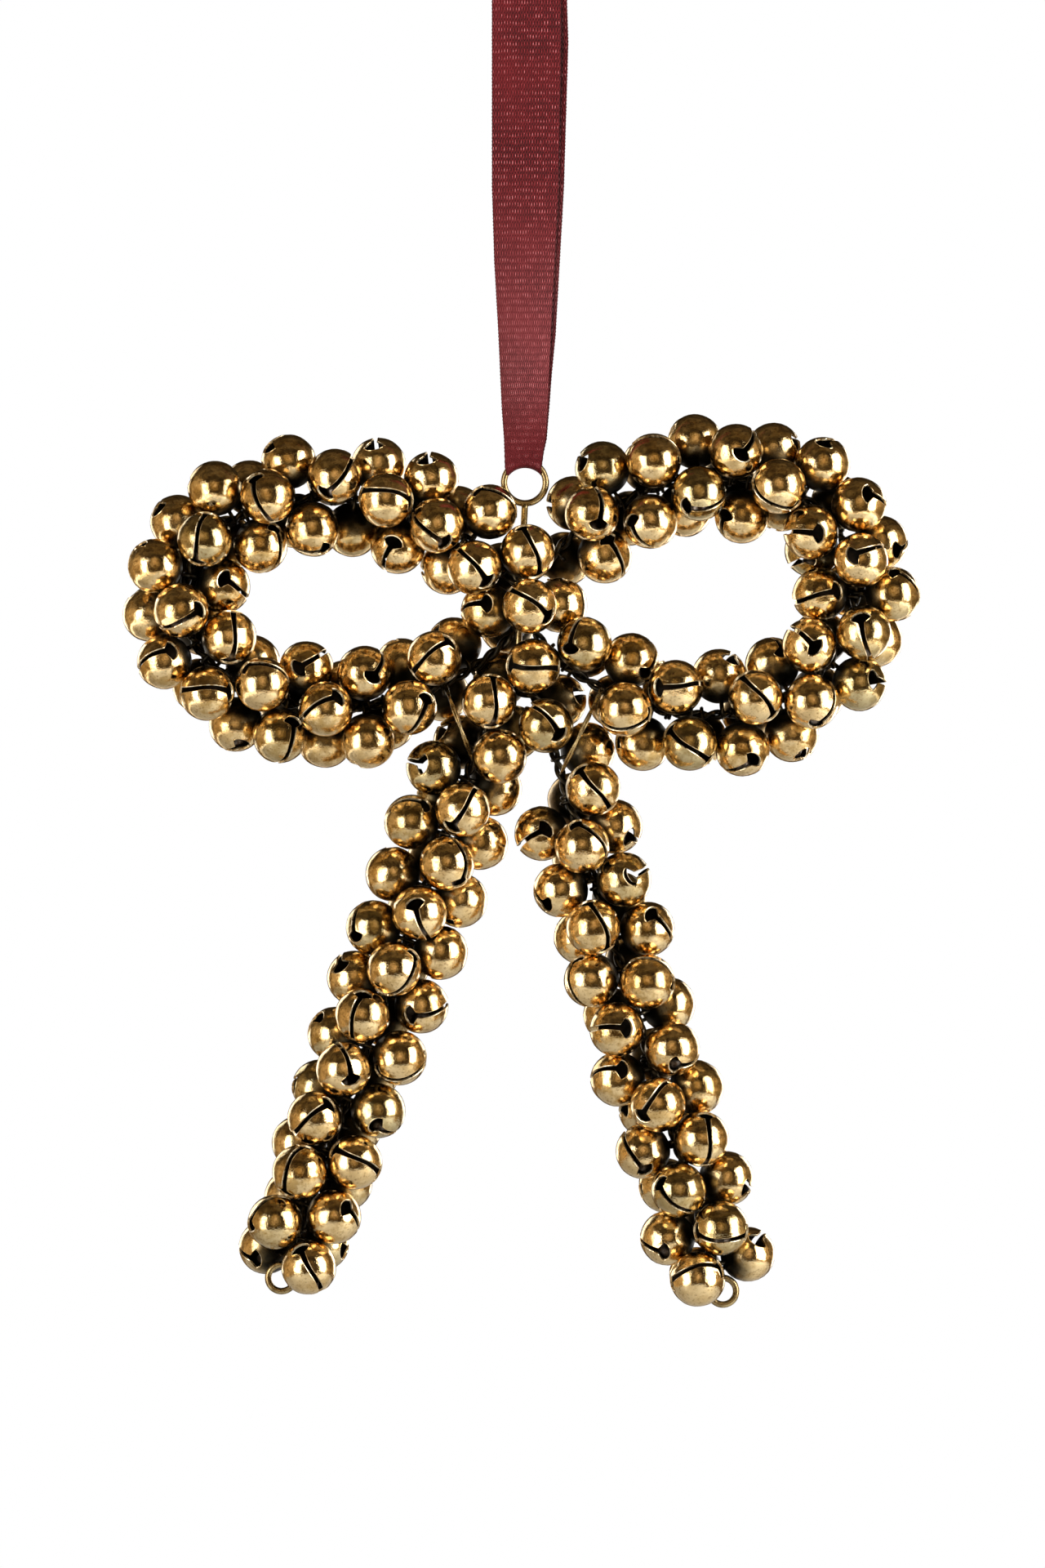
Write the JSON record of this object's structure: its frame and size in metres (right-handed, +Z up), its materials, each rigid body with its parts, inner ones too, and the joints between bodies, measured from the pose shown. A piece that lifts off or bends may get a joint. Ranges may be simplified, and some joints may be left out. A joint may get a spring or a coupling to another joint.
{
  "type": "sleigh bell bow ornament",
  "caption": "Bow-shaped hanging ornament: two loops and two tails of small brass sleigh bells strung on wire, with a wire eye and a burgundy grosgrain hanging ribbon.",
  "frame": {"origin": "the inside top of the ribbon loop, where it hangs on its hook", "axes": "+Z up along the ribbon, -Y towards the front of the bow, +X to the right seen from the front"},
  "size_m": [0.1434, 0.028, 0.2487],
  "materials": {
    "bell_brass": "polished antique brass, browned in the hollows",
    "wire": "drawn brass wire, dull",
    "ribbon": "matt grosgrain with fine cross ribs"
  },
  "bodies": {
    "root": {"left_tail_bells_01": "bell_brass", "left_tail_bells_02": "bell_brass", "left_tail_bells_03": "bell_brass", "left_tail_bells_04": "bell_brass", "left_tail_bells_05": "bell_brass", "left_tail_bells_06": "bell_brass", "left_tail_bells_07": "bell_brass", "left_tail_bells_08": "bell_brass", "left_tail_bells_09": "bell_brass", "right_tail_bells_01": "bell_brass", "right_tail_bells_02": "bell_brass", "right_tail_bells_03": "bell_brass", "right_tail_bells_04": "bell_brass", "right_tail_bells_05": "bell_brass", "right_tail_bells_06": "bell_brass", "right_tail_bells_07": "bell_brass", "right_tail_bells_08": "bell_brass", "right_tail_bells_09": "bell_brass", "left_loop_bells_01": "bell_brass", "left_loop_bells_02": "bell_brass", "left_loop_bells_03": "bell_brass", "left_loop_bells_04": "bell_brass", "left_loop_bells_05": "bell_brass", "left_loop_bells_06": "bell_brass", "left_loop_bells_07": "bell_brass", "left_loop_bells_08": "bell_brass", "left_loop_bells_09": "bell_brass", "left_loop_bells_10": "bell_brass", "left_loop_bells_11": "bell_brass", "left_loop_bells_12": "bell_brass", "left_loop_bells_13": "bell_brass", "right_loop_bells_01": "bell_brass", "right_loop_bells_02": "bell_brass", "right_loop_bells_03": "bell_brass", "right_loop_bells_04": "bell_brass", "right_loop_bells_05": "bell_brass", "right_loop_bells_06": "bell_brass", "right_loop_bells_07": "bell_brass", "right_loop_bells_08": "bell_brass", "right_loop_bells_09": "bell_brass", "right_loop_bells_10": "bell_brass", "right_loop_bells_11": "bell_brass", "right_loop_bells_12": "bell_brass", "right_loop_bells_13": "bell_brass", "top_eye": "wire", "left_tail_eye": "wire", "right_tail_eye": "wire", "left_binding_wire": "wire", "right_binding_wire": "wire", "hanging_ribbon": "ribbon"}
  },
  "joints": []
}
